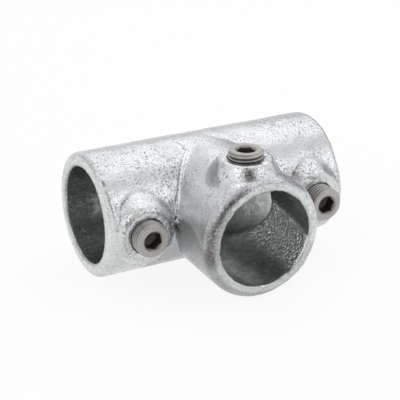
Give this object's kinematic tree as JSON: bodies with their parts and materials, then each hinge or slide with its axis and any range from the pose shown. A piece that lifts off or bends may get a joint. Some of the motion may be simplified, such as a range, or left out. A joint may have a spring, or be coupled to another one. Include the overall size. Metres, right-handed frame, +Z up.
{
  "type": "tube clamp tee fitting",
  "caption": "Galvanised cast iron tee that joins round tubes at right angles, with a grub screw in a boss on each socket to clamp its tube.",
  "frame": {"origin": "where the run's axis crosses the branch's axis, halfway along the run", "axes": "+X along the run, -Y along the branch towards its mouth, +Z up, out of the branch's screw boss"},
  "size_m": [0.0946, 0.0697, 0.051],
  "materials": {
    "galvanised_iron": "satin",
    "screw_steel": "satin"
  },
  "bodies": {
    "tee": {"cast_body": "galvanised_iron"},
    "left_screw": {"run_screw_left": "screw_steel"},
    "right_screw": {"run_screw_right": "screw_steel"},
    "top_screw": {"branch_screw": "screw_steel"}
  },
  "joints": [
    {"name": "left_screw_travel", "type": "slide", "parent": "tee", "child": "left_screw", "axis": [0, 1, 0], "range_m": [-0.0031, 0.00455]},
    {"name": "right_screw_travel", "type": "slide", "parent": "tee", "child": "right_screw", "axis": [0, 1, 0], "range_m": [-0.0014, 0.00625]},
    {"name": "top_screw_travel", "type": "slide", "parent": "tee", "child": "top_screw", "axis": [0, 0, -1], "range_m": [-0.0046, 0.00195]}
  ]
}
